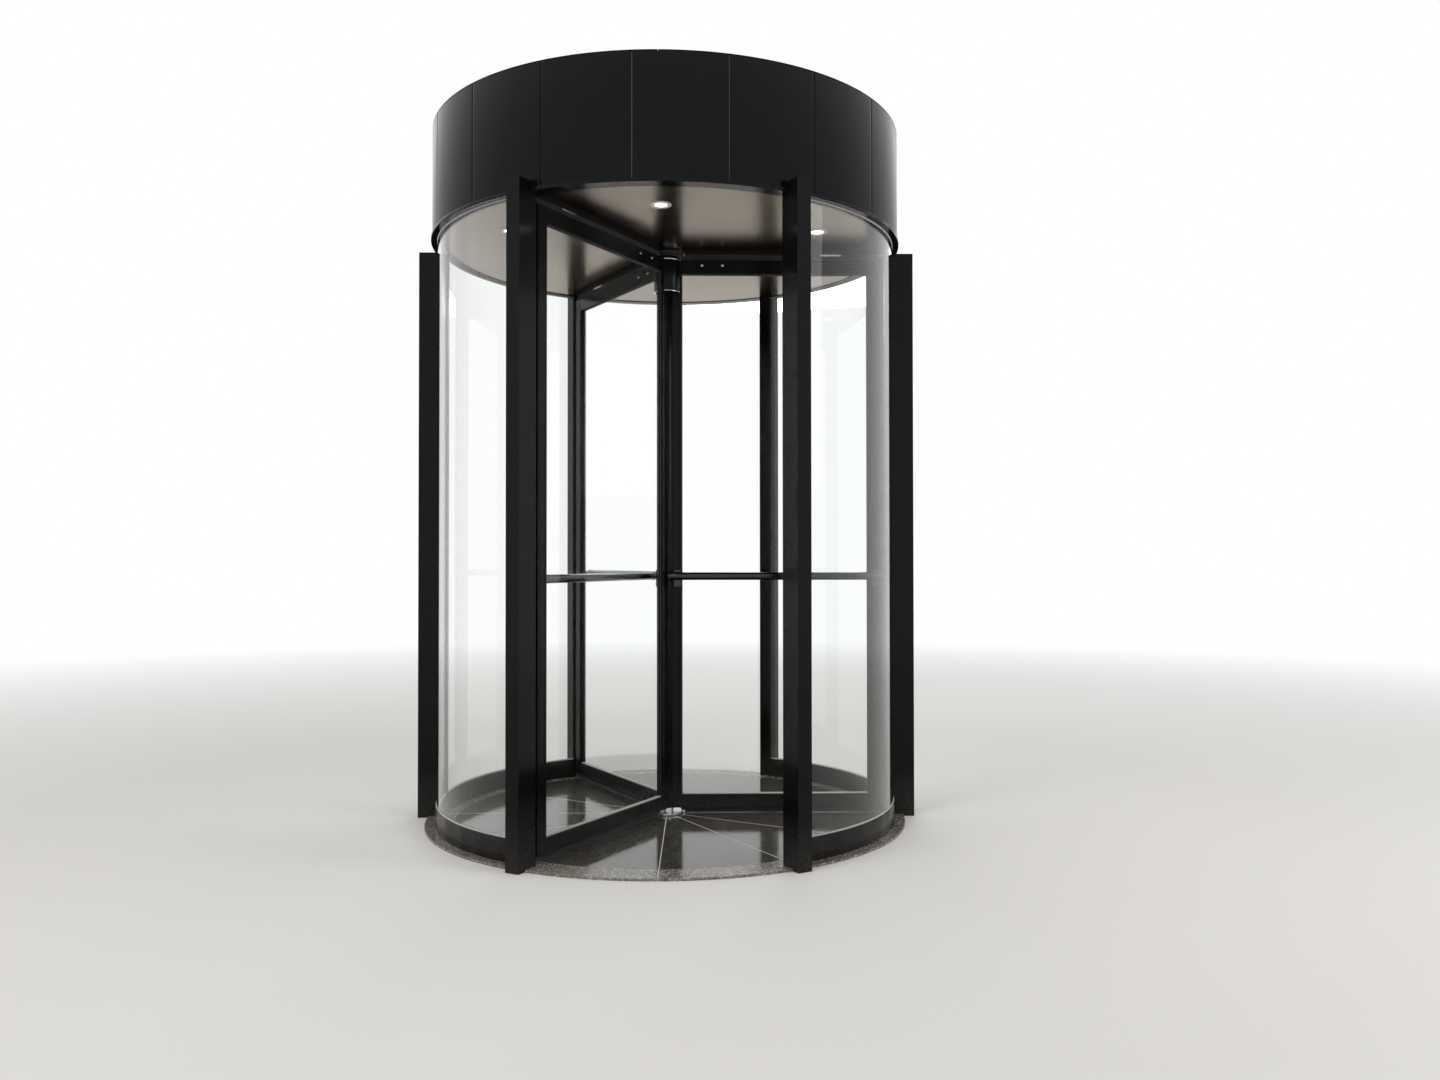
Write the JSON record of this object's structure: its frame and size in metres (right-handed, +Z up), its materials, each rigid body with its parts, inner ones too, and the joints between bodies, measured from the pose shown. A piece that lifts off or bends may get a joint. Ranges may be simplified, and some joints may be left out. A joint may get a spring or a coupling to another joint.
{
  "type": "revolving door",
  "caption": "Manual revolving door: a glazed round drum with a canopy around a winged rotor with push bars.",
  "frame": {"origin": "floor level on the axis of the drum", "axes": "+Z up, -Y towards the outside throat, +X along the wall"},
  "size_m": [2.308, 2.204, 3.134],
  "materials": {
    "black_frame": "gloss black coat on extruded aluminium",
    "canopy_panel": "high-gloss black composite panel",
    "polished_ceiling": "polished sheet, mirror-like",
    "curved_glass": "clear laminated glass, curved",
    "wing_glass": "clear laminated glass, flat",
    "push_bar": "black chrome",
    "brush": "dense black brush",
    "satin_steel": "satin",
    "beam_steel": "grey primer",
    "dark_granite": "polished",
    "grey_granite": "polished, speckled",
    "downlight": "satin"
  },
  "bodies": {
    "drum": {"floor_disc": "dark_granite", "floor_border": "grey_granite", "floor_pivot": "satin_steel", "post_front_left": "black_frame", "post_front_right": "black_frame", "post_back_left": "black_frame", "post_back_right": "black_frame", "wall_post_left": "black_frame", "wall_post_right": "black_frame", "base_rail_left": "black_frame", "base_rail_right": "black_frame", "glass_front_left": "curved_glass", "glass_front_right": "curved_glass", "glass_back_left": "curved_glass", "glass_back_right": "curved_glass", "canopy_ring": "black_frame", "canopy_ceiling": "polished_ceiling", "canopy_fascia_outside": "canopy_panel", "canopy_fascia_inside": "canopy_panel", "canopy_roof": "canopy_panel", "downlights": "downlight", "bearing_beam": "beam_steel"},
    "rotor": {"shaft": "black_frame", "shaft_collar": "black_frame", "wing_a_top_rail": "black_frame", "wing_a_bottom_rail": "black_frame", "wing_a_outer_stile": "black_frame", "wing_a_inner_stile": "black_frame", "wing_a_glass": "wing_glass", "wing_a_brushes": "brush", "wing_a_push_bar": "push_bar", "wing_b_top_rail": "black_frame", "wing_b_bottom_rail": "black_frame", "wing_b_outer_stile": "black_frame", "wing_b_inner_stile": "black_frame", "wing_b_glass": "wing_glass", "wing_b_brushes": "brush", "wing_b_push_bar": "push_bar", "wing_c_top_rail": "black_frame", "wing_c_bottom_rail": "black_frame", "wing_c_outer_stile": "black_frame", "wing_c_inner_stile": "black_frame", "wing_c_glass": "wing_glass", "wing_c_brushes": "brush", "wing_c_push_bar": "push_bar"}
  },
  "joints": [
    {"name": "rotor_spin", "type": "hinge", "parent": "drum", "child": "rotor", "pos_m": [0, 0, 0], "axis": [0, 0, 1], "continuous": true}
  ]
}
